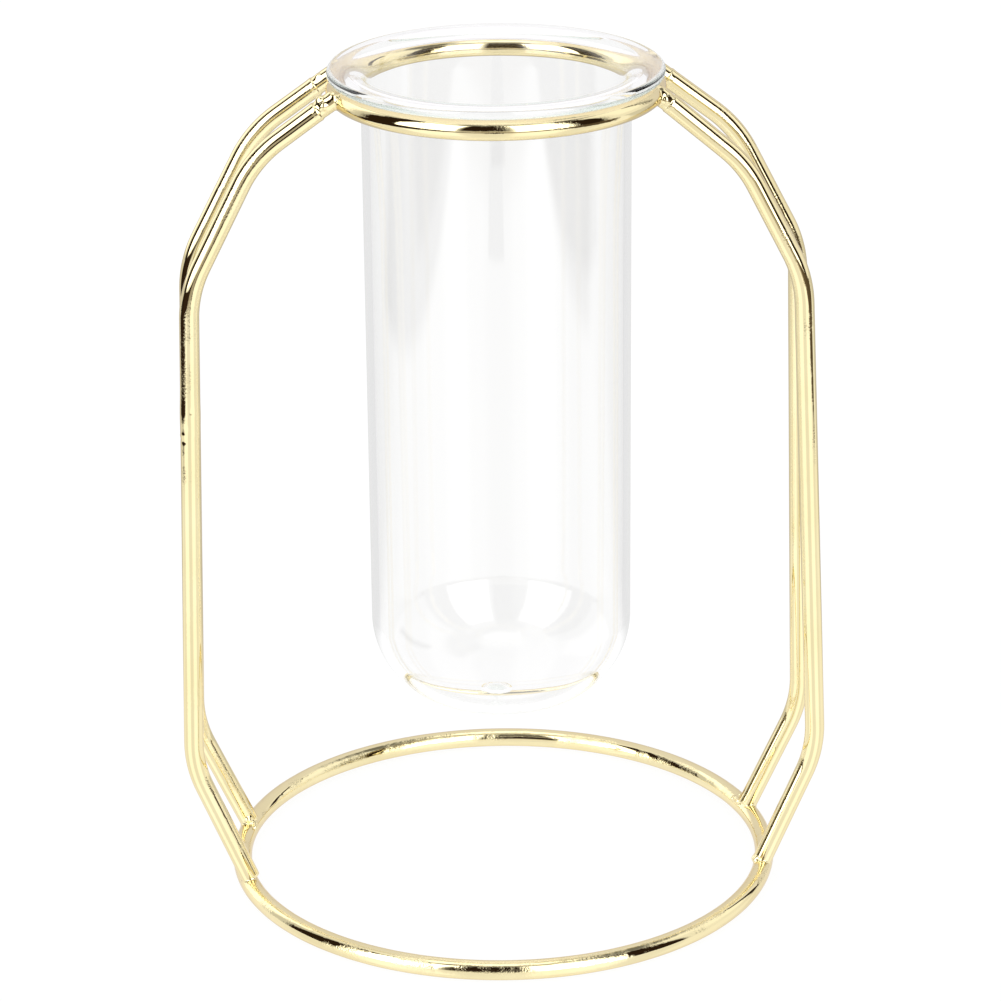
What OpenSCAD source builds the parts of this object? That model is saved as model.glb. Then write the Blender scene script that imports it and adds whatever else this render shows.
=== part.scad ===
// Test-tube flower vase on a welded wire stand: a flanged glass tube hangs in
// the stand's top ring, four bent wire legs carry that ring over a floor ring.
// Millimetres, +Z up, origin on the floor under the centre of both rings.
// The legs stand in pairs at the left and right, the front looks along -Y. Each
// leg is bent flat, and the two of a pair lean toward each other at the top.

/* [Stand] */
// Diameter of the steel wire of the rings and legs
wire_d = 4.5; // [3:0.1:6]
// Diameter of the floor ring at the wire's centreline
base_ring_d = 124; // [100:1:170]
// Height of the top ring's centreline above the floor
top_ring_z = 189; // [165:1:240]

/* [Legs] */
// Distance that a leg's upright stretch stands out past the floor ring
leg_bulge = 10.4; // [6:0.1:20]
// Distance between the two legs of a pair at the floor ring
foot_spacing = 29.9; // [22:0.1:40]
// Distance between the two legs of a pair at the top ring
head_spacing = 21.5; // [16:0.1:30]
// Radius of each bend at the wire's centreline
bend_r = 28; // [12:1:40]
// How much thinner the wire is where it is bent
bend_thinning = 0.02; // [0.02:0.01:0.1]
// Distance that a leg's line passes inside the floor ring's centreline
foot_inset = 0.8; // [0:0.1:2]
// Distance that a leg's line passes above the top ring's centreline
head_rise = 2.25; // [1.5:0.05:2.5]

/* [Welds] */
// How far the weld bead at a leg's end stands out round the wire
bead_rise = 0.55; // [0.4:0.05:0.7]
// Depth that a leg's foot is fused into the floor ring
weld_bite = 0.5; // [0.3:0.1:0.8]
// Gap between a leg's head and the top ring, which the weld bead fills
head_gap = 2.2; // [1.2:0.1:2.5]

/* [Glass tube] */
// Outer diameter of the tube
tube_d = 60; // [46:0.5:72]
// Wall thickness of the tube
tube_wall = 1.8; // [1.5:0.1:3]
// Length from the top of the lip to the lowest point
tube_length = 153; // [120:1:160]
// Thickness of the lip, whose rim is fully round
lip_t = 2.4; // [1.8:0.1:3]
// Radius of the concave fillet under the lip, at most the tube's clearance
lip_fillet_r = 3.2; // [2:0.1:5]
// Radius of the round mouth edge between the lip and the bore
mouth_r = 5; // [3:0.1:5.5]
// Outer radius of the knuckle between the wall and the round bottom
knuckle_r = 20; // [14:0.5:24]
// Outer radius of the bottom's crown
crown_r = 43; // [38:0.5:60]
// Diameter of the thick spot where the bottom was sealed
pip_d = 6; // [4:0.5:9]
// Height of that thick spot over the inner bottom
pip_h = 1; // [0.5:0.1:1.5]

/* [Fit] */
// Gap all round between the tube's wall and the ring that it hangs in
tube_clearance = 3.25; // [2:0.05:5]
// How far the lip's rim reaches out past the top ring's centreline
lip_overhang = 2; // [1:0.1:4]
// Gap between the lip's flat underside and the top ring
seat_gap = 0.3; // [0.2:0.05:0.5]

/* [Hidden] */
$fn = 96;
gold = "#e8dba8";
clear_glass = "#e6f0ee";
// Overrun of every cut past the face that it opens
cut = 1;
// Length that a straight wire laps into the bend next to it
bend_lap = 0.3;

wire_r = wire_d / 2;
base_r = base_ring_d / 2;
base_z = wire_r;
top_r = tube_d / 2 + tube_clearance + wire_r;
stand_rise = top_ring_z - base_z;
bead_d = wire_d + 2 * bead_rise;

// A leg's plane runs along X and stands foot_y off it at the floor ring and
// head_y off it at the top ring
foot_y = foot_spacing / 2;
head_y = head_spacing / 2;
leg_lean = atan((foot_y - head_y) / stand_rise);
// Length along the leaning plane of the stand's rise
plane_rise = stand_rise / cos(leg_lean);
// Where the two rings and the upright stretch lie along X in that plane
base_x = sqrt(pow(base_r, 2) - pow(foot_y, 2));
top_x = sqrt(pow(top_r, 2) - pow(head_y, 2));
leg_x = base_r + leg_bulge;

// Bends of a leg, from the top down: how far out each lies from the top ring to
// the upright stretch, and how high from the floor ring to the top ring
bend_out_shares = [0.528, 0.907, 1];
bend_up_shares = [0.926, 0.775, 0.16];
// Points in the leg's plane: [distance along X, height above the floor ring]
base_centre = [base_x, 0];
top_centre = [top_x, plane_rise];
leg_foot = base_centre - [foot_inset, 0];
leg_head = top_centre + [0, head_rise];
leg_bends = [
    for (i = [0 : len(bend_out_shares) - 1])
        [top_x + (leg_x - top_x) * bend_out_shares[i], plane_rise * bend_up_shares[i]]
];
head_dir = unit(leg_bends[0] - leg_head);
foot_dir = unit(leg_bends[len(leg_bends) - 1] - leg_foot);
// Both ends are cut square: the foot in the floor ring's wire, the head short
// of the top ring's
foot_reach = wire_r - weld_bite;
head_reach = wire_r + head_gap;
foot_end = leg_foot + foot_dir * (foot_reach + (base_centre - leg_foot) * foot_dir);
head_end = leg_head + head_dir * (head_reach + (top_centre - leg_head) * head_dir);
head_bead = head_end - head_dir * head_gap / 2;
leg_line = concat([head_end], leg_bends, [foot_end]);

// Heights of the tube
lip_z = top_ring_z + wire_r + seat_gap;
lip_top = lip_z + lip_t;
bottom_z = lip_top - tube_length;
tube_r = tube_d / 2;
bore_r = tube_r - tube_wall;
lip_edge_r = top_r + lip_overhang - lip_t / 2;
fillet_r = min(lip_fillet_r, tube_clearance);
crown_z = bottom_z + crown_r;
knuckle_x = tube_r - knuckle_r;
// The knuckle rolls inside the crown, so its centre is crown_r - knuckle_r away
knuckle_z = crown_z - sqrt(pow(crown_r - knuckle_r, 2) - pow(knuckle_x, 2));
// Sphere that caps the thick spot in the bottom
pip_r = (pow(pip_d / 2, 2) + pow(pip_h, 2)) / (2 * pip_h);
pip_z = bottom_z + tube_wall + pip_h - pip_r;

function unit(v) = v / norm(v);
// Angle that the wire turns through at b on its way from a to c
function turn(a, b, c) = acos(unit(b - a) * unit(c - b));
// Length of straight wire that the bend at b takes from each side
function bend_trim(a, b, c) = bend_r * tan(turn(a, b, c) / 2);
// Start and end of the bend at corner i of a line of points
function bend_start(p, i) =
    p[i] + unit(p[i - 1] - p[i]) * bend_trim(p[i - 1], p[i], p[i + 1]);
function bend_end(p, i) =
    p[i] + unit(p[i + 1] - p[i]) * bend_trim(p[i - 1], p[i], p[i + 1]);
function bend_centre(p, i) =
    p[i] + unit(unit(p[i - 1] - p[i]) + unit(p[i + 1] - p[i]))
        * bend_r / cos(turn(p[i - 1], p[i], p[i + 1]) / 2);
function heading(v) = atan2(v[1], v[0]);

// Straight wire from a to b in the XZ plane, longer by a lap at either end
module straight(a, b, lap_a = 0, lap_b = 0) {
    start = a - unit(b - a) * lap_a;
    translate([start[0], 0, start[1]])
        rotate([0, 90 - heading(b - a), 0])
            cylinder(d = wire_d, h = lap_a + norm(b - a) + lap_b);
}

// Bent wire at corner i of a line of points in the XZ plane
module bend(p, i) {
    centre = bend_centre(p, i);
    angle = turn(p[i - 1], p[i], p[i + 1]);
    first = heading(bend_start(p, i) - centre);
    last = heading(bend_end(p, i) - centre);
    translate([centre[0], 0, centre[1]])
        rotate([90, 0, 0])
            rotate([0, 0, min(first, last)])
                rotate_extrude(angle = angle)
                    translate([bend_r, 0])
                        circle(d = wire_d - bend_thinning);
}

module wire_ring(r, z) {
    translate([0, 0, z])
        rotate_extrude()
            translate([r, 0])
                circle(d = wire_d);
}

module base_ring() {
    color(gold)
        wire_ring(base_r, base_z);
}

module top_ring() {
    color(gold)
        wire_ring(top_r, top_ring_z);
}

// One leg in the XZ plane, before its foot is fitted to the floor ring
module leg_wire() {
    corners = len(leg_bends);
    for (i = [0 : corners]) {
        from = i == 0 ? leg_line[0] : bend_end(leg_line, i);
        to = i == corners ? leg_line[i + 1] : bend_start(leg_line, i + 1);
        straight(from, to, i == 0 ? 0 : bend_lap, i == corners ? 0 : bend_lap);
    }
    for (i = [1 : corners])
        bend(leg_line, i);
}

// Where each leg stands: [turn about the vertical axis, side of the X axis before
// that turn]
half_turn = 180;
front_left = [half_turn, 1];
back_left = [half_turn, -1];
front_right = [0, -1];
back_right = [0, 1];

// Sets what is drawn in the XZ plane into a leg's leaning plane
module in_leg_plane(place) {
    rotate([0, 0, place[0]])
        translate([0, place[1] * foot_y, base_z])
            rotate([place[1] * leg_lean, 0, 0])
                children();
}

module leg(place) {
    color(gold)
        difference() {
            in_leg_plane(place)
                leg_wire();
            wire_ring(base_r, base_z);
        }
}

module leg_front_left() { leg(front_left); }
module leg_back_left() { leg(back_left); }
module leg_front_right() { leg(front_right); }
module leg_back_right() { leg(back_right); }

// Weld metal round centre, which joins a leg's end to the ring beside it
module weld_bead(place, centre, end, dir, r, z) {
    difference() {
        in_leg_plane(place)
            translate([centre[0], 0, centre[1]])
                sphere(d = bead_d);
        in_leg_plane(place)
            straight(end, end + dir * bead_d);
        wire_ring(r, z);
    }
}

module base_welds() {
    color(gold)
        for (place = [front_left, back_left, front_right, back_right])
            weld_bead(place, foot_end, foot_end, foot_dir, base_r, base_z);
}

module top_welds() {
    color(gold)
        for (place = [front_left, back_left, front_right, back_right])
            weld_bead(place, head_bead, head_end, head_dir, top_r, top_ring_z);
}

// Half section of the tube's body, drawn in by inset from the outer surface
module tube_section(inset, top) {
    translate([0, knuckle_z])
        square([tube_r - inset, top - knuckle_z]);
    intersection() {
        union() {
            translate([knuckle_x, knuckle_z])
                circle(r = knuckle_r - inset);
            intersection() {
                translate([0, crown_z])
                    circle(r = crown_r - inset);
                polygon([
                    [0, crown_z],
                    [0, bottom_z - cut],
                    [
                        knuckle_x * (crown_z - bottom_z + cut) / (crown_z - knuckle_z),
                        bottom_z - cut
                    ]
                ]);
            }
        }
        translate([0, bottom_z - cut])
            square([tube_d, crown_r + cut]);
    }
}

// Half section of the flared lip, which rests on the top ring
module lip_section() {
    translate([bore_r, lip_z])
        square([lip_edge_r - bore_r, lip_t]);
    translate([lip_edge_r, lip_z + lip_t / 2])
        circle(d = lip_t);
    difference() {
        translate([bore_r, lip_z - fillet_r])
            square([tube_wall + fillet_r, fillet_r + lip_t / 2]);
        translate([tube_r + fillet_r, lip_z - fillet_r])
            circle(r = fillet_r);
    }
}

module glass_tube() {
    color(clear_glass, 0.4)
        rotate_extrude()
            difference() {
                union() {
                    tube_section(0, lip_top);
                    lip_section();
                }
                difference() {
                    tube_section(tube_wall, lip_top + cut);
                    translate([0, pip_z])
                        circle(r = pip_r);
                }
                difference() {
                    translate([0, lip_top - mouth_r])
                        square([bore_r + mouth_r, mouth_r + cut]);
                    translate([bore_r + mouth_r, lip_top - mouth_r])
                        circle(r = mouth_r);
                }
            }
}

base_ring();
top_ring();
leg_front_left();
leg_back_left();
leg_front_right();
leg_back_right();
base_welds();
top_welds();
glass_tube();
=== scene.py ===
import math

import bpy
import numpy as np
from mathutils import Matrix, Vector


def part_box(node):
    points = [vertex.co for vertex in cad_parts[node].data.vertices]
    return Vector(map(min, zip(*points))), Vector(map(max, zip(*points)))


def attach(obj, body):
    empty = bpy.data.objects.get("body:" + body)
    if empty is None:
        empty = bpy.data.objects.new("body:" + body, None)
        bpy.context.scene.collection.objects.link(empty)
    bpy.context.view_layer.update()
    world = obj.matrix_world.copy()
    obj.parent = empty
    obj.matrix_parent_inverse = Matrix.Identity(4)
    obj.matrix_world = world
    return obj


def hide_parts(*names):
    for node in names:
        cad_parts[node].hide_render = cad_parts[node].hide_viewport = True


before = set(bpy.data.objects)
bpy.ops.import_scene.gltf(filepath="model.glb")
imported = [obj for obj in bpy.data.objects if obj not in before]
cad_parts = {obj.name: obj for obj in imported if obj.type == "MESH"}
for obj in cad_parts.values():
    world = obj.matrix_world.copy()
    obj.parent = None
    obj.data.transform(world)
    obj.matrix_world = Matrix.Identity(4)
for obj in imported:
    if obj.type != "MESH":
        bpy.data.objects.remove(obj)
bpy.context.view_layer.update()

MM = 0.001
TAU = 2 * math.pi

# Sizes read off the frame, in metres
base_lo, base_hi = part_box("base_ring")
top_lo, top_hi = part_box("top_ring")
tube_lo, tube_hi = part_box("glass_tube")
WIRE_R = (base_hi.z - base_lo.z) / 2
BASE_R = (base_hi.x - base_lo.x) / 2 - WIRE_R
BASE_Z = (base_lo.z + base_hi.z) / 2
TOP_R = (top_hi.x - top_lo.x) / 2 - WIRE_R
TOP_Z = (top_hi.z + top_lo.z) / 2

# Each leg is bent flat in a plane that runs along X and leans toward the other leg of
# its pair. FOOT_Y and HEAD_Y are how far off the X axis it stands at the two rings.
FOOT_Y = 14.95 * MM
HEAD_Y = 10.75 * MM
STAND_RISE = TOP_Z - BASE_Z
LEAN = math.atan((FOOT_Y - HEAD_Y) / STAND_RISE)
PLANE_RISE = STAND_RISE / math.cos(LEAN)
BASE_X = math.sqrt(BASE_R ** 2 - FOOT_Y ** 2)
TOP_X = math.sqrt(TOP_R ** 2 - HEAD_Y ** 2)
# A hair less than in the CAD model, which keeps the hand-bent legs inside its box
LEG_BULGE = 10.35 * MM
LEG_X = BASE_R + LEG_BULGE
BEND_R = 28 * MM
# Each bend's place, as shares of the way out from TOP_X to LEG_X and of the way up
BEND_OUT_SHARES = (0.528, 0.907, 1)
BEND_UP_SHARES = (0.926, 0.775, 0.16)
FOOT_INSET = 0.8 * MM
HEAD_RISE = 2.25 * MM
WELD_BITE = 0.5 * MM

# Side (-1 left, 1 right), front (-1) or back (1), the head's rise over the pattern, the gap
# that its weld fills, and how far the hand-bent corners stray outward and upward from the
# pattern, from the top down
LEGS = {
    "leg_front_left": dict(side=-1, depth=-1, rise=0.3, gap=3.4,
                           stray=((-0.2, 1.9), (0.4, 0.2), (-0.1, 1))),
    "leg_back_left": dict(side=-1, depth=1, rise=0, gap=3.6,
                          stray=((-0.25, 1.75), (0.7, -0.4), (0, -1))),
    "leg_front_right": dict(side=1, depth=-1, rise=-1.1, gap=1.7,
                            stray=((0.1, -2.4), (-1.1, -0.4), (-0.15, -0.25))),
    "leg_back_right": dict(side=1, depth=1, rise=0, gap=3.0,
                           stray=((0.5, 0.1), (0.65, -0.4), (0, -1))),
}

# The tube's section
LIP_TOP = tube_hi.z
TUBE_BOTTOM = tube_lo.z
LIP_R = (tube_hi.x - tube_lo.x) / 2
LIP_T = 2.4 * MM
TUBE_R = 30 * MM
WALL = 1.8 * MM
FILLET_R = 3.2 * MM
MOUTH_R = 5 * MM
KNUCKLE_R = 20 * MM
CROWN_R = 43 * MM

# How far the photograph's camera is turned about the object, in degrees. The studio turns
# with it.
CAMERA_TURN = 3.45


def new_object(name, verts, faces, material):
    mesh = bpy.data.meshes.new(name)
    mesh.from_pydata([tuple(v) for v in verts], [], [tuple(f) for f in faces])
    mesh.update()
    mesh.materials.append(material)
    obj = bpy.data.objects.new(name, mesh)
    bpy.context.scene.collection.objects.link(obj)
    return obj


def new_piece(name, verts, faces, material, body, slot, node):
    """A smooth piece that rides on a body and stands for a CAD node."""
    obj = new_object(name, verts, faces, material)
    obj.data.polygons.foreach_set("use_smooth", [True] * len(obj.data.polygons))
    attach(obj, body)
    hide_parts(node)
    return obj


# Material helpers
def node_material(name):
    mat = bpy.data.materials.new(name)
    mat.use_nodes = True
    tree = mat.node_tree
    tree.nodes.clear()
    return mat, tree, tree.nodes.new("ShaderNodeOutputMaterial")


def feed(tree, socket, value):
    """Links a socket to another, or sets a plain value on it."""
    if isinstance(value, (int, float, tuple)):
        socket.default_value = value
    else:
        tree.links.new(value, socket)


def noise(tree, coord, scale, detail, rough=0.5):
    node = tree.nodes.new("ShaderNodeTexNoise")
    node.inputs["Scale"].default_value = scale
    node.inputs["Detail"].default_value = detail
    node.inputs["Roughness"].default_value = rough
    tree.links.new(coord, node.inputs["Vector"])
    return node.outputs["Fac"]


def ramp(tree, fac, stops):
    """A colour ramp between two stops."""
    node = tree.nodes.new("ShaderNodeValToRGB")
    for stop, (position, colour) in zip(node.color_ramp.elements, stops):
        stop.position = position
        stop.color = (*colour, 1)
    tree.links.new(fac, node.inputs["Fac"])
    return node.outputs["Color"]


def grey(v):
    return (v, v, v)


def maths(tree, op, a, b=0.0):
    node = tree.nodes.new("ShaderNodeMath")
    node.operation = op
    feed(tree, node.inputs[0], a)
    feed(tree, node.inputs[1], b)
    return node.outputs[0]


def step_down(tree, value, at, width):
    """1 where value is below at, 0 above it, with a soft edge of that width."""
    node = tree.nodes.new("ShaderNodeMapRange")
    node.interpolation_type = "SMOOTHSTEP"
    node.inputs["From Min"].default_value = at - width / 2
    node.inputs["From Max"].default_value = at + width / 2
    node.inputs["To Min"].default_value = 1
    node.inputs["To Max"].default_value = 0
    tree.links.new(value, node.inputs["Value"])
    return node.outputs["Result"]


def mix(tree, fac, a, b):
    node = tree.nodes.new("ShaderNodeMix")
    node.data_type = "RGBA"
    feed(tree, node.inputs["Factor"], fac)
    # The node's colours are its inputs 6 and 7 and its output 2
    for socket, value in ((node.inputs[6], a), (node.inputs[7], b)):
        feed(tree, socket, (*value, 1) if isinstance(value, tuple) else value)
    return node.outputs[2]


def bump(tree, height, strength, distance, normal=None):
    node = tree.nodes.new("ShaderNodeBump")
    node.inputs["Strength"].default_value = strength
    node.inputs["Distance"].default_value = distance
    tree.links.new(height, node.inputs["Height"])
    if normal is not None:
        tree.links.new(normal, node.inputs["Normal"])
    return node.outputs["Normal"]


# Materials
GOLD = (0.88, 0.78, 0.485)
GOLD_DEEP = (0.855, 0.74, 0.43)
# Tint of the gold where it is seen at a glancing angle
GOLD_EDGE = (0.78, 0.72, 0.68)
# Scales of the plating's noises, in cells per metre: patches of colour, spots of roughness,
# fine grain, the patches where that grain lies, and soft waves
COLOUR_SCALE = 60
SPOT_SCALE = 520
GRAIN_SCALE = 1900
GRAINY_SCALE = 130
WAVE_SCALE = 190
# Grain that is left on smooth plating, and how gradually grainy patches begin
LEAST_GRAIN = 0.03
GRAINY_EDGE = 0.18
RELIEF = 0.2 * MM


def gold(name, rough_lo, rough_hi, grain, smooth_to, waves):
    """Pale gold plating on polished wire: fine grain in patches over soft waves. The plating
    is smooth where the patches' noise is below smooth_to."""
    mat, tree, out = node_material(name)
    shader = tree.nodes.new("ShaderNodeBsdfPrincipled")
    shader.inputs["Metallic"].default_value = 1.0
    shader.inputs["Specular Tint"].default_value = (*GOLD_EDGE, 1)
    place = tree.nodes.new("ShaderNodeTexCoord").outputs["Object"]
    patches = noise(tree, place, COLOUR_SCALE, 3)
    colour = ramp(tree, patches, [(0.35, GOLD), (0.75, GOLD_DEEP)])
    tree.links.new(colour, shader.inputs["Base Color"])
    spots = noise(tree, place, SPOT_SCALE, 4, 0.6)
    roughness = ramp(tree, spots, [(0.4, grey(rough_lo)), (0.75, grey(rough_hi))])
    tree.links.new(roughness, shader.inputs["Roughness"])
    fine = noise(tree, place, GRAIN_SCALE, 3, 0.6)
    where = ramp(tree, noise(tree, place, GRAINY_SCALE, 2),
                 [(smooth_to, grey(LEAST_GRAIN)), (smooth_to + GRAINY_EDGE, grey(1))])
    soft = bump(tree, noise(tree, place, WAVE_SCALE, 2), waves, RELIEF)
    grainy = bump(tree, maths(tree, "MULTIPLY", fine, where), grain, RELIEF, soft)
    tree.links.new(grainy, shader.inputs["Normal"])
    tree.links.new(shader.outputs["BSDF"], out.inputs["Surface"])
    return mat


# Refraction of the glass, its tint and how much of that each metre of it takes
GLASS_IOR = 1.47
GLASS_TINT = (0.55, 0.86, 0.68)
GLASS_DENSITY = 0.4
# Draw lines: cells per metre round the tube, the share of that along it, strength and depth
LINE_SCALE = 70
LINE_STRETCH = 0.12
LINE_STRENGTH = 0.05
LINE_DEPTH = 0.4 * MM


def glass(name):
    """Clear drawn glass: faint draw lines along it, and a green tint through its depth."""
    mat, tree, out = node_material(name)
    shader = tree.nodes.new("ShaderNodeBsdfPrincipled")
    shader.inputs["Base Color"].default_value = (1, 1, 1, 1)
    shader.inputs["Transmission Weight"].default_value = 1.0
    shader.inputs["IOR"].default_value = GLASS_IOR
    shader.inputs["Roughness"].default_value = 0.0
    stretch = tree.nodes.new("ShaderNodeMapping")
    stretch.inputs["Scale"].default_value = (1, 1, LINE_STRETCH)
    tree.links.new(tree.nodes.new("ShaderNodeTexCoord").outputs["Object"], stretch.inputs["Vector"])
    lines = noise(tree, stretch.outputs["Vector"], LINE_SCALE, 2)
    tree.links.new(bump(tree, lines, LINE_STRENGTH, LINE_DEPTH), shader.inputs["Normal"])
    tree.links.new(shader.outputs["BSDF"], out.inputs["Surface"])
    tint = tree.nodes.new("ShaderNodeVolumeAbsorption")
    tint.inputs["Color"].default_value = (*GLASS_TINT, 1)
    tint.inputs["Density"].default_value = GLASS_DENSITY
    tree.links.new(tint.outputs["Volume"], out.inputs["Volume"])
    return mat


# Least and most roughness, grain, where it begins, and strength of the waves
wire_mat = gold("gold_plated_wire", 0.015, 0.05, 0.22, 0.48, 0.05)
base_mat = gold("gold_plated_base_ring", 0.015, 0.05, 0.6, 0.42, 0.05)
weld_mat = gold("gold_plated_weld", 0.02, 0.05, 0.05, 0.48, 0.1)
glass_mat = glass("clear_drawn_glass")


# Wire
def rounded_line(corners, radius, step):
    """Points along a line of corners whose bends are arcs, at most step apart."""
    points = [corners[0]]

    def straight_to(end):
        start = points[-1]
        count = max(1, math.ceil((end - start).length / step))
        points.extend(start.lerp(end, i / count) for i in range(1, count + 1))

    for before, at, after in zip(corners, corners[1:], corners[2:]):
        back = (before - at).normalized()
        on = (after - at).normalized()
        turn = math.pi - back.angle(on)
        trim = radius * math.tan(turn / 2)
        centre = at + (back + on).normalized() * radius / math.cos(turn / 2)
        straight_to(at + back * trim)
        first = points[-1] - centre
        last = at + on * trim - centre
        count = max(2, math.ceil(radius * turn / step))
        points.extend(centre + radius * first.slerp(last, i / count) for i in range(1, count + 1))
    straight_to(corners[-1])
    return points


def leg_frame(leg, x, height):
    """A point of a leg's plane, by its distance along X and its height in that plane."""
    y = FOOT_Y - height * math.sin(LEAN)
    return Vector((leg["side"] * x, leg["depth"] * y, BASE_Z + height * math.cos(LEAN)))


def leg_corners(leg):
    """Corners of a leg's centreline from the top ring down to the floor ring."""
    bends = [
        Vector((TOP_X + (LEG_X - TOP_X) * out + dx * MM, PLANE_RISE * up + dz * MM))
        for out, up, (dx, dz) in zip(BEND_OUT_SHARES, BEND_UP_SHARES, leg["stray"])
    ]
    top_centre = Vector((TOP_X, PLANE_RISE))
    head = top_centre + Vector((0, HEAD_RISE + leg["rise"] * MM))
    base_centre = Vector((BASE_X, 0))
    foot = base_centre - Vector((FOOT_INSET, 0))
    head_dir = (bends[0] - head).normalized()
    foot_dir = (bends[-1] - foot).normalized()
    head_reach = WIRE_R + leg["gap"] * MM
    head_end = head + head_dir * (head_reach + (top_centre - head).dot(head_dir))
    foot_end = foot + foot_dir * (WIRE_R - WELD_BITE + (base_centre - foot).dot(foot_dir))
    return [leg_frame(leg, *p) for p in [head_end, *bends, foot_end]]


def sweep(points, normal, sides, radius, closed=False):
    """Round wire along points of one plane. radius(distance, angle) gives its surface."""
    line = np.array([tuple(p) for p in points])
    count = len(line)
    if closed:
        along = np.roll(line, -1, 0) - np.roll(line, 1, 0)
    else:
        along = np.gradient(line, axis=0)
    along /= np.linalg.norm(along, axis=1, keepdims=True)
    across = np.array(tuple(normal)) / np.linalg.norm(normal)
    out = np.cross(along, across)
    gaps = np.linalg.norm(np.diff(line, axis=0), axis=1)
    distance = np.concatenate([[0], np.cumsum(gaps)])
    angle = np.arange(sides) * TAU / sides
    r = radius(distance[:, None], angle[None, :])[..., None]
    ring = np.cos(angle)[None, :, None] * out[:, None, :] + np.sin(angle)[None, :, None] * across
    verts = (line[:, None, :] + r * ring).reshape(-1, 3).tolist()
    faces = []
    for i in range(count if closed else count - 1):
        j = (i + 1) % count
        for k in range(sides):
            m = (k + 1) % sides
            faces.append((i * sides + k, j * sides + k, j * sides + m, i * sides + m))
    if not closed:
        last = (count - 1) * sides
        faces.append(tuple(range(sides)))
        faces.append(tuple(range(last + sides - 1, last - 1, -1)))
    return verts, faces


WAVE_COUNT = 6
# Least and most of the waves' turns per millimetre along the wire, in radians
WAVE_RATES = (0.25, 0.9)


def worn_wire(seed, size):
    """Radius of drawn wire after polishing: slow swells of about size along and round it."""
    rng = np.random.default_rng(seed)
    waves = [
        (rng.uniform(*WAVE_RATES), rng.integers(0, 3), rng.uniform(0, TAU)) for _ in range(WAVE_COUNT)
    ]

    def radius(distance, angle):
        r = np.full(np.broadcast(distance, angle).shape, WIRE_R)
        for per_mm, turns, phase in waves:
            r = r + size * np.sin(distance / MM * per_mm + turns * angle + phase) / len(waves)
        return r - size

    return radius


# The dressed butt weld on one leg: how far along it the weld lies, then in millimetres the
# height, place and length of its low swelling, its ridge and the groove past that, the
# ridge's tilt, and the depth and size of its pits, each at a place along and round the wire
BUTT_WELD_AT = 79.5 * MM
SWELLING = (0.10, 0, 4)
RIDGE = (0.07, 4.3, 0.35)
RIDGE_TILT = 0.5
GROOVE = (-0.06, 5.3, 0.5)
PIT_DEPTH = 0.12
PIT_SIZE = 0.30
PITS = ((-1.5, 1.75), (2.5, 1.24))


def with_butt_weld(plain, at):
    """Adds a butt weld round the wire: a low swelling, a ridge and groove, and two pits."""
    def band(s, height, place, length):
        return height * MM * np.exp(-((s - place) / length) ** 2)

    def radius(distance, angle):
        s = (distance - at) / MM
        r = plain(distance, angle)
        r = r + band(s, *SWELLING)
        r = r + band(s - RIDGE_TILT * np.cos(angle), *RIDGE)
        r = r + band(s, *GROOVE)
        for along, round_at in PITS:
            turn = np.angle(np.exp(1j * (angle - round_at))) * WIRE_R / MM
            r = r - PIT_DEPTH * MM * np.exp(-(((s - along) ** 2 + turn ** 2) / PIT_SIZE ** 2))
        return r

    return radius


WIRE_SIDES = 48
WIRE_STEP = 0.7 * MM
SWELL = 0.006 * MM
# Bevel at a leg's square-cut ends, and the length over which a ring's swells fade at its seam
END_BEVEL = 0.12 * MM
SEAM_FADE = 6 * MM
BASE_RING_SEED = 11
TOP_RING_SEED = 12


def make_leg(name, leg, seed):
    line = rounded_line(leg_corners(leg), BEND_R, WIRE_STEP)
    start, end = line[0], line[-1]
    line.insert(1, start.lerp(line[1], END_BEVEL / (line[1] - start).length))
    line.insert(-1, end.lerp(line[-2], END_BEVEL / (line[-2] - end).length))
    plane = Vector((0, leg["depth"] * math.cos(LEAN), math.sin(LEAN)))
    surface = worn_wire(seed, SWELL)
    if name == "leg_front_left":
        surface = with_butt_weld(surface, BUTT_WELD_AT)
    length = sum((b - a).length for a, b in zip(line, line[1:]))

    def radius(distance, angle):
        at_end = (distance < END_BEVEL / 2) | (distance > length - END_BEVEL / 2)
        return surface(distance, angle) - np.where(at_end, END_BEVEL, 0)

    verts, faces = sweep(line, plane, WIRE_SIDES, radius)
    piece = new_piece(name + "_wire", verts, faces, wire_mat, "stand", "gold_wire", name)
    # The last two faces are the flat ends
    for cap in list(piece.data.polygons)[-2:]:
        cap.use_smooth = False


def make_ring(node, r, z, material, seed):
    count = round(TAU * r / WIRE_STEP)
    line = [
        Vector((r * math.cos(TAU * i / count), r * math.sin(TAU * i / count), z)) for i in range(count)
    ]
    plain = worn_wire(seed, SWELL)

    def radius(distance, angle):
        # The swells fade out toward the seam, so that the ring closes smoothly
        near = np.minimum(distance, TAU * r - distance) / SEAM_FADE
        calm = WIRE_R - SWELL
        return calm + (plain(distance, angle) - calm) * np.clip(near, 0, 1)

    verts, faces = sweep(line, Vector((0, 0, 1)), WIRE_SIDES, radius, closed=True)
    new_piece(node + "_wire", verts, faces, material, "stand", "gold_wire", node)


for seed, (name, leg) in enumerate(LEGS.items()):
    make_leg(name, leg, seed)
make_ring("base_ring", BASE_R, BASE_Z, base_mat, BASE_RING_SEED)
make_ring("top_ring", TOP_R, TOP_Z, wire_mat, TOP_RING_SEED)


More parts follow.
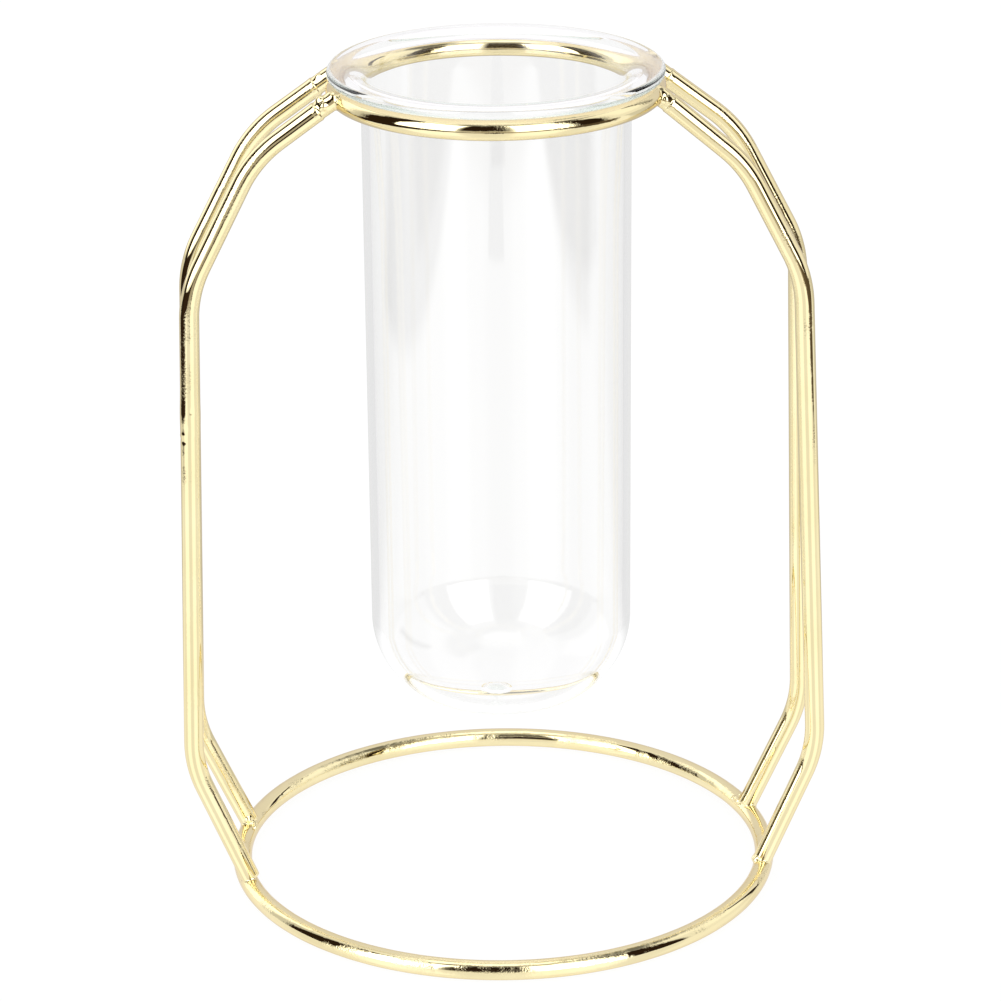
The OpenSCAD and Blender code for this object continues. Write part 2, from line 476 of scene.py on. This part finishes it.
# Weld metal
def surface_net(field, origin, cell):
    """Mesh of the surface where a grid of signed distances passes through zero."""
    shape = np.array(field.shape) - 1
    total = np.zeros((*shape, 3))
    hits = np.zeros(shape)
    edges = []
    for axis in range(3):
        a = np.delete(field, -1, axis)
        b = np.delete(field, 0, axis)
        at = np.argwhere((a < 0) != (b < 0))
        va = a[tuple(at.T)]
        vb = b[tuple(at.T)]
        point = at.astype(float)
        point[:, axis] += va / (va - vb)
        u, v = (axis + 1) % 3, (axis + 2) % 3
        around = []
        for du, dv in ((0, 0), (-1, 0), (-1, -1), (0, -1)):
            c = at.copy()
            c[:, u] += du
            c[:, v] += dv
            np.add.at(total, tuple(c.T), point)
            np.add.at(hits, tuple(c.T), 1)
            around.append(c)
        edges.append((around, va < 0))
    number = np.full(shape, -1)
    used = hits > 0
    number[used] = np.arange(used.sum())
    verts = origin + cell * total[used] / hits[used][:, None]
    faces = []
    for around, inward in edges:
        quad = np.stack([number[tuple(c.T)] for c in around], 1)
        quad[~inward] = quad[~inward][:, ::-1]
        faces.append(quad)
    return verts, np.concatenate(faces)


def blend_min(a, b, width):
    """Lesser of two distances, rounded into each other over width."""
    h = np.clip(0.5 + 0.5 * (b - a) / width, 0, 1)
    return b * (1 - h) + a * h - width * h * (1 - h)


def to_ring(p, r, z):
    return np.hypot(np.hypot(p[..., 0], p[..., 1]) - r, p[..., 2] - z) - WIRE_R


def to_capsule(p, a, b, r):
    a, b = np.array(tuple(a)), np.array(tuple(b))
    t = np.clip((p - a) @ (b - a) / ((b - a) @ (b - a)), 0, 1)
    return np.linalg.norm(p - a - t[..., None] * (b - a), axis=-1) - r


def to_cut_wire(p, end, on):
    """Distance to a square-cut wire that starts at end and runs along on."""
    q = p - np.array(tuple(end))
    on = np.array(tuple(on))
    s = q @ on
    side = np.linalg.norm(q - s[..., None] * on, axis=-1) - WIRE_R
    return np.maximum(side, -s)


NUB_CELL = 0.14 * MM
# Weld metal runs out this far, then sinks this deep under the wire
NUB_REACH = 4.8 * MM
NUB_SINK = 0.02 * MM
# Clearance that the weld metal leaves round the tube's lip
LIP_GAP = 0.25 * MM
LUMP_FILLET = 0.5 * MM
# Folds of the weld metal: how many waves, their least and most length in mm, and the middle
# height that is taken off them
FOLD_COUNT = 5
FOLD_LENGTHS = (2.6, 5.0)
FOLD_MIDDLE = 0.64
# Shares of the reach at which the folds begin to fade and are gone
FOLDS_FULL = 0.2
FOLDS_GONE = 1.0


def off_lip(p):
    """Negative where the tube's lip needs room, in its seat and on its way up."""
    return np.maximum(np.hypot(p[..., 0], p[..., 1]) - LIP_R, LIP_TOP - LIP_T - p[..., 2]) - LIP_GAP


def nub(centre, end, on, ring_r, ring_z, necks, fillet, crumple, seed):
    """Weld metal that runs from a leg's end onto a ring, with lumps (necks) of its own and
    a crumpled surface of folds as deep as crumple."""
    rng = np.random.default_rng(seed)
    half = NUB_REACH + 3 * NUB_CELL
    axis = np.arange(-half, half + NUB_CELL, NUB_CELL)
    origin = np.array(tuple(centre)) - half
    grid = np.stack(np.meshgrid(axis, axis, axis, indexing="ij"), -1) + np.array(tuple(centre))
    d = blend_min(to_cut_wire(grid, end, on), to_ring(grid, ring_r, ring_z), fillet)
    for a, b, r in necks:
        d = blend_min(d, to_capsule(grid, a, b, r), LUMP_FILLET)
    rough = np.zeros(d.shape)
    for _ in range(FOLD_COUNT):
        k = rng.normal(0, 1, 3)
        k *= TAU / rng.uniform(*FOLD_LENGTHS) / np.linalg.norm(k)
        rough += (np.abs(np.sin(grid @ k / MM / 2 + rng.uniform(0, TAU))) - FOLD_MIDDLE) / 2
    away = np.linalg.norm(grid - np.array(tuple(centre)), axis=-1)
    fade = np.clip((FOLDS_GONE - away / NUB_REACH) / (FOLDS_GONE - FOLDS_FULL), 0, 1)
    d = d + NUB_SINK - crumple * rough * fade
    d = np.maximum(np.maximum(d, away - NUB_REACH), -off_lip(grid))
    return surface_net(d, origin, NUB_CELL)


def join_meshes(parts):
    verts, faces, start = [], [], 0
    for v, f in parts:
        verts.extend(v.tolist())
        faces.extend((f + start).tolist())
        start += len(v)
    return verts, faces


# Fillet, fold depth and lumps of each base weld, in mm. A lump has its place from the
# foot's end (outward along X, back, up) and its radius.
BASE_WELDS = {
    "leg_front_left": (0.4, 0.03, [(0.4, -1.0, 0.4, 0.6)]),
    "leg_back_left": (0.6, 0.10, [(0.3, -1.9, 1.2, 0.8), (-1.0, -0.8, 0.3, 0.85),
                                  (-1.15, -1.9, 0.0, 0.8), (-1.2, -2.9, -0.3, 0.6)]),
    "leg_front_right": (0.4, 0.03, [(-1.6, 0.3, -0.2, 1.0), (-1.7, -1.0, 0.1, 0.7)]),
    "leg_back_right": (0.5, 0.10, [(-3.0, 3.4, -0.2, 0.8), (-2.2, 2.4, 0.1, 0.8), (-1.4, 3.1, 0.5, 0.7),
                                   (-2.1, 1.3, 0.0, 0.75), (-1.3, 0.8, 0.4, 0.6)]),
}
# The same for each top weld, from the middle of its gap
TOP_WELDS = {
    "leg_front_left": (0.5, 0.15, [(0.9, -0.2, 1.6, 0.95), (0.2, -1.6, 0.4, 0.9)]),
    "leg_back_left": (0.5, 0.06, [(-0.9, 0.2, 1.7, 0.9), (0.9, -0.6, 1.3, 0.7)]),
    "leg_front_right": (0.5, 0.15, [(-0.3, -1.6, 0.6, 1.0), (0.6, -1.2, 0.9, 0.7)]),
    "leg_back_right": (0.5, 0.05, [(0.3, -1.0, -0.9, 0.8)]),
}


# How far a top weld's neck reaches into the ring, as a share of the way to its centreline,
# and how much thinner than the wire it is
NECK_SHARE = 0.75
NECK_THINNING = 0.1 * MM
# A lump is a very short capsule
LUMP_LENGTH = 0.01 * MM
TOP_WELD_SEED = 10


def lump_list(leg, centre, lumps):
    """Lumps as balls, with their places turned to the leg's side of the ring."""
    balls = []
    for out, back, up, r in lumps:
        p = centre + Vector((leg["side"] * out, back, up)) * MM
        balls.append((p, p + Vector((0, 0, LUMP_LENGTH)), r * MM))
    return balls


def make_welds():
    base, top = [], []
    for seed, (name, leg) in enumerate(LEGS.items()):
        corners = leg_corners(leg)
        head, foot = corners[0], corners[-1]
        head_on = (corners[1] - head).normalized()
        foot_on = (corners[-2] - foot).normalized()
        fillet, crumple, lumps = BASE_WELDS[name]
        base.append(nub(foot, foot, foot_on, BASE_R, BASE_Z, lump_list(leg, foot, lumps),
                        fillet * MM, crumple * MM, seed))
        fillet, crumple, lumps = TOP_WELDS[name]
        middle = head - head_on * (leg["gap"] * MM / 2)
        into_ring = head - head_on * (WIRE_R + leg["gap"] * MM) * NECK_SHARE
        necks = [(head, into_ring, WIRE_R - NECK_THINNING)] + lump_list(leg, middle, lumps)
        top.append(nub(middle, head, head_on, TOP_R, TOP_Z, necks,
                       fillet * MM, crumple * MM, seed + TOP_WELD_SEED))
    new_piece("base_weld_metal", *join_meshes(base), weld_mat, "stand", "gold_weld", "base_welds")
    new_piece("top_weld_metal", *join_meshes(top), weld_mat, "stand", "gold_weld", "top_welds")


make_welds()


# Glass tube
TUBE_SEGMENTS = 192
# Steps of the section along each of its stretches
CROWN_STEPS = 30
KNUCKLE_STEPS = 40
WALL_STEPS = 40
FILLET_STEPS = 14
RIM_STEPS = 20
MOUTH_STEPS = 22
FLAT_STEPS = 4
# The seal where the bottom was closed: a low drop inside, a little off the axis. Its place,
# radius, stretch along X and height, and how steeply it falls off
PIP_AT = (-1.2 * MM, -0.3 * MM)
PIP_R = 3.1 * MM
PIP_STRETCH = 1.1
PIP_HEIGHT = 1.7 * MM
PIP_FALL = 1.6
# The drop lies on the bottom, which is lower than this above the tube's lowest point
BOTTOM_ZONE = 8 * MM


def arc(cx, cz, r, a0, a1, steps):
    """Points of an arc in the section, from angle a0 to a1 in degrees."""
    angles = [math.radians(a0 + (a1 - a0) * i / steps) for i in range(steps + 1)]
    return [(cx + r * math.cos(a), cz + r * math.sin(a)) for a in angles]


def straight(start, end, steps):
    """Points of a straight line in the section, after its start."""
    return [
        (start[0] + (end[0] - start[0]) * i / steps, start[1] + (end[1] - start[1]) * i / steps)
        for i in range(1, steps + 1)
    ]


def tube_profile():
    """Half section from the outer bottom round the lip to the inner bottom."""
    lip_z = LIP_TOP - LIP_T
    crown_z = TUBE_BOTTOM + CROWN_R
    kx = TUBE_R - KNUCKLE_R
    kz = crown_z - math.sqrt((CROWN_R - KNUCKLE_R) ** 2 - kx ** 2)
    lean = math.degrees(math.atan2(kz - crown_z, kx))
    bore = TUBE_R - WALL
    out = arc(0, crown_z, CROWN_R, -90, lean, CROWN_STEPS)
    out += arc(kx, kz, KNUCKLE_R, lean, 0, KNUCKLE_STEPS)[1:]
    fz = lip_z - FILLET_R
    out += straight(out[-1], (TUBE_R, fz), WALL_STEPS)
    out += arc(TUBE_R + FILLET_R, fz, FILLET_R, 180, 90, FILLET_STEPS)[1:]
    rim = LIP_R - LIP_T / 2
    out += straight(out[-1], (rim, lip_z), FLAT_STEPS)
    out += arc(rim, lip_z + LIP_T / 2, LIP_T / 2, -90, 90, RIM_STEPS)[1:]
    mouth = bore + MOUTH_R
    out += straight(out[-1], (mouth, LIP_TOP), FLAT_STEPS)
    out += arc(mouth, LIP_TOP - MOUTH_R, MOUTH_R, 90, 180, MOUTH_STEPS)[1:]
    out += straight(out[-1], (bore, kz), WALL_STEPS)
    out += arc(kx, kz, KNUCKLE_R - WALL, 0, lean, KNUCKLE_STEPS)[1:]
    out += arc(0, crown_z, CROWN_R - WALL, lean, -90, CROWN_STEPS)[1:]
    return out


def make_tube():
    segs = TUBE_SEGMENTS
    prof = tube_profile()
    verts = [(0, 0, prof[0][1])]
    ring = []
    for r, z in prof[1:-1]:
        ring.append(len(verts))
        for i in range(segs):
            a = TAU * i / segs
            verts.append((r * math.cos(a), r * math.sin(a), z))
    last = len(verts)
    verts.append((0, 0, prof[-1][1]))
    faces = []
    for i in range(segs):
        j = (i + 1) % segs
        faces.append((0, ring[0] + j, ring[0] + i))
        for p, q in zip(ring, ring[1:]):
            faces.append((p + i, p + j, q + j, q + i))
        faces.append((last, ring[-1] + i, ring[-1] + j))
    out = []
    inner_from = ring[len(ring) // 2]
    for k, (x, y, z) in enumerate(verts):
        d = math.hypot((x - PIP_AT[0]) / PIP_STRETCH, y - PIP_AT[1]) / PIP_R
        if k > inner_from and z < TUBE_BOTTOM + BOTTOM_ZONE and d < 1:
            z += PIP_HEIGHT * (1 - d * d) ** PIP_FALL
        out.append((x, y, z))
    new_piece("glass_tube_blown", out, faces, glass_mat, "tube", "clear_glass", "glass_tube")


make_tube()


# Studio
def stage_card(name, verts, material):
    obj = new_object(name, verts, [(0, 1, 2, 3)], material)
    return obj


def darken(tree, u, v, colour, panels):
    """Lays rectangles of the plane (u, v) over a colour. Each is its name, the middle and
    half width along u, the same along v, its soft edge and its colour."""
    for _, at_u, half_u, at_v, half_v, edge, shade in panels:
        off_u = maths(tree, "ABSOLUTE", maths(tree, "SUBTRACT", u, at_u))
        off_v = maths(tree, "ABSOLUTE", maths(tree, "SUBTRACT", v, at_v))
        inside = maths(tree, "MULTIPLY", step_down(tree, off_u, half_u, edge),
                       step_down(tree, off_v, half_v, edge))
        colour = mix(tree, inside, colour, shade)
    return colour


DARK = (0.025, 0.014, 0.008)
# White paper seen through the glass
THROUGH = (0.925, 0.925, 0.92)
# White paper as it is, and as the metal mirrors it
PAPER = grey(0.92)
MIRRORED_PAPER = grey(0.95)
# Strength of the floor's own light, and its share in what the camera sees
FLOOR_GLOW = 1.03
GLOW_SHARE = 0.9
SHEEN = 0.12
SHEEN_ROUGHNESS = 0.16
# Painted reflections: dark and dim patches painted on the floor that only rays the metal mirrors see,
# in metres: the table top white up to its edges, dark beyond them, a dark patch in front and dimmer
# behind
PAINTED_TABLE_REFLECTIONS = [
    ("front_far", 0.0, 0.45, -1.60, 1.00, 0.10, (0.42, 0.38, 0.33)),
    ("dim_behind", 0.0, 3.0, 1.10, 1.0, 0.06, grey(0.66)),
    ("front_foot", -0.012, 0.062, -0.99, 0.47, 0.02, DARK),
    ("beyond_left_edge", -1.91, 1.50, -0.67, 0.85, 0.05, DARK),
    ("beyond_right_edge", 1.93, 1.50, -0.79, 0.75, 0.06, (0.10, 0.075, 0.05)),
]


def straight_through(tree, light):
    """1 for a ray that comes straight through the glass, or has run round inside it, and sees
    white paper. After one reflection it sees the studio, as a mirrored ray does."""
    once = maths(tree, "COMPARE", light.outputs["Glossy Depth"], 1.0)
    # How near to 1 counts as once
    once.node.inputs[2].default_value = 0.25
    not_once = maths(tree, "SUBTRACT", 1.0, once)
    return maths(tree, "MULTIPLY", light.outputs["Is Transmission Ray"], not_once)


def floor_material():
    """White paper: it shows as white, and takes part of its light so that it keeps shadows."""
    mat, tree, out = node_material("pale_floor")
    matt = tree.nodes.new("ShaderNodeBsdfDiffuse")
    matt.inputs["Color"].default_value = (*PAPER, 1)
    glow = tree.nodes.new("ShaderNodeEmission")
    light = tree.nodes.new("ShaderNodeLightPath")
    place = tree.nodes.new("ShaderNodeSeparateXYZ")
    tree.links.new(tree.nodes.new("ShaderNodeTexCoord").outputs["Object"], place.inputs["Vector"])
    # Painted reflections: what the metal mirrors of the floor is white with dark and dim patches
    # painted on it
    painted_table = darken(tree, place.outputs["X"], place.outputs["Y"], MIRRORED_PAPER, PAINTED_TABLE_REFLECTIONS)
    # A ray through the glass counts as glossy too
    through = straight_through(tree, light)
    not_through = maths(tree, "SUBTRACT", 1.0, through)
    mirrored = maths(tree, "MULTIPLY", light.outputs["Is Glossy Ray"], not_through)
    white = mix(tree, through, grey(1), THROUGH)
    tree.links.new(mix(tree, mirrored, white, painted_table), glow.inputs["Color"])
    glow.inputs["Strength"].default_value = FLOOR_GLOW
    seen = maths(tree, "MAXIMUM", light.outputs["Is Camera Ray"], light.outputs["Is Glossy Ray"])
    seen = maths(tree, "MAXIMUM", seen, light.outputs["Is Transmission Ray"])
    share = maths(tree, "MAXIMUM", maths(tree, "MULTIPLY", seen, GLOW_SHARE), mirrored)
    blend = tree.nodes.new("ShaderNodeMixShader")
    tree.links.new(share, blend.inputs["Fac"])
    tree.links.new(matt.outputs["BSDF"], blend.inputs[1])
    tree.links.new(glow.outputs["Emission"], blend.inputs[2])
    # The softboxes glint in the table top, which the metal mirrors again
    sheen = tree.nodes.new("ShaderNodeBsdfGlossy")
    tree.links.new(mix(tree, SHEEN, grey(0), painted_table), sheen.inputs["Color"])
    sheen.inputs["Roughness"].default_value = SHEEN_ROUGHNESS
    bright = tree.nodes.new("ShaderNodeAddShader")
    tree.links.new(blend.outputs["Shader"], bright.inputs[0])
    tree.links.new(sheen.outputs["BSDF"], bright.inputs[1])
    pick = tree.nodes.new("ShaderNodeMixShader")
    tree.links.new(mirrored, pick.inputs["Fac"])
    tree.links.new(blend.outputs["Shader"], pick.inputs[1])
    tree.links.new(bright.outputs["Shader"], pick.inputs[2])
    tree.links.new(pick.outputs["Shader"], out.inputs["Surface"])
    return mat


FLOOR_HALF = 3.0
FLOOR_Z = -0.0002
floor = stage_card("floor", [(-FLOOR_HALF, -FLOOR_HALF, FLOOR_Z), (FLOOR_HALF, -FLOOR_HALF, FLOOR_Z),
                             (FLOOR_HALF, FLOOR_HALF, FLOOR_Z), (-FLOOR_HALF, FLOOR_HALF, FLOOR_Z)],
                   floor_material())
floor.rotation_euler.z = -math.radians(CAMERA_TURN)

# Panels of the studio as seen from the object: azimuth from the camera toward the right and
# its half width, height and its half, soft edge, all in degrees, and brightness
PANELS = [
    ("ceiling", 0.0, 181, 84.0, 11, 8, grey(1.7)),
    ("glow_behind_left", -128.0, 14, 22.0, 26, 12, grey(1.6)),
    ("glow_behind_right", 110.0, 20, 32.0, 18, 14, grey(1.2)),
    ("lamp_stand", 124.0, 3.5, 24.0, 18, 2, DARK),
    ("grey_wall_left", -102.0, 8, 18.0, 38, 6, grey(0.72)),
    ("gap_left", -83.5, 14.5, 19.0, 40, 4, DARK),
    ("gap_right", 65.0, 13, 24.0, 38, 5, DARK),
    ("gap_middle", -8.0, 17, 38.0, 32, 6, DARK),
    ("grey_table_front", -8.0, 17, 0.0, 5, 5, (0.45, 0.41, 0.36)),
    ("arch_front", 15.0, 65, 72.0, 5, 6, grey(0.5)),
    ("arch_front_left", -20.0, 26, 65.0, 5, 6, grey(0.22)),
    ("arch_right", 112.0, 38, 64.0, 10, 8, grey(0.2)),
    ("softbox_left", -48.5, 21.5, 28.0, 29, 3, grey(3.0)),
    ("softbox_right", 32.0, 19.5, 28.0, 31, 3, grey(3.0)),
]
# The open studio: in front of the object out to this azimuth, with a soft edge, and behind
IN_FRONT = grey(1.02)
FRONT_TO = 118
FRONT_EDGE = 24
BEHIND = (0.89, 0.88, 0.91)
# The same where the glass mirrors it
BEHIND_IN_GLASS = (1.12, 1.10, 1.14)


def make_world():
    world = bpy.data.worlds.new("studio")
    bpy.context.scene.world = world
    world.use_nodes = True
    tree = world.node_tree
    tree.nodes.clear()
    out = tree.nodes.new("ShaderNodeOutputWorld")
    sky = tree.nodes.new("ShaderNodeBackground")
    way = tree.nodes.new("ShaderNodeSeparateXYZ")
    tree.links.new(tree.nodes.new("ShaderNodeTexCoord").outputs["Generated"], way.inputs["Vector"])
    x, y, z = way.outputs["X"], way.outputs["Y"], way.outputs["Z"]
    to_degrees = 180 / math.pi
    azimuth = maths(tree, "ARCTAN2", x, maths(tree, "MULTIPLY", y, -1.0))
    azimuth = maths(tree, "ADD", maths(tree, "MULTIPLY", azimuth, to_degrees), CAMERA_TURN)
    height = maths(tree, "MULTIPLY", maths(tree, "ARCSINE", z), to_degrees)
    facing = step_down(tree, maths(tree, "ABSOLUTE", azimuth), FRONT_TO, FRONT_EDGE)
    light = tree.nodes.new("ShaderNodeLightPath")
    behind = mix(tree, light.outputs["Is Transmission Ray"], BEHIND, BEHIND_IN_GLASS)
    colour = darken(tree, azimuth, height, mix(tree, facing, behind, IN_FRONT), PANELS)
    colour = mix(tree, straight_through(tree, light), colour, THROUGH)
    tree.links.new(mix(tree, light.outputs["Is Camera Ray"], colour, grey(1)), sky.inputs["Color"])
    tree.links.new(sky.outputs["Background"], out.inputs["Surface"])


make_world()


def make_camera():
    frame_px = 1001
    focal_px = 3912.3
    distance = 0.900
    pitch = math.radians(21.34)
    azimuth = math.radians(CAMERA_TURN)
    roll = -0.0096
    aim = Vector((0.0001, 0, 0.09074))
    level = Vector((math.sin(azimuth), math.cos(azimuth), 0)) * math.cos(pitch)
    ahead = level - Vector((0, 0, math.sin(pitch)))
    right = ahead.cross(Vector((0, 0, 1))).normalized()
    up = right.cross(ahead)
    rolled_right = right * math.cos(roll) + up * math.sin(roll)
    rolled_up = up * math.cos(roll) - right * math.sin(roll)
    lens = bpy.data.cameras.new("camera")
    lens.sensor_width = 36
    lens.lens = focal_px / frame_px * lens.sensor_width
    lens.clip_start = 0.01
    obj = bpy.data.objects.new("camera", lens)
    bpy.context.scene.collection.objects.link(obj)
    place = Matrix((rolled_right, rolled_up, -ahead)).transposed().to_4x4()
    place.translation = aim - ahead * distance
    obj.matrix_world = place
    bpy.context.scene.camera = obj


make_camera()
bpy.context.scene.view_settings.view_transform = "Standard"
# Light runs round inside the glass lip many times before it leaves
BOUNCES = 300
bpy.context.scene.cycles.max_bounces = BOUNCES
bpy.context.scene.cycles.glossy_bounces = BOUNCES
bpy.context.scene.cycles.transmission_bounces = BOUNCES
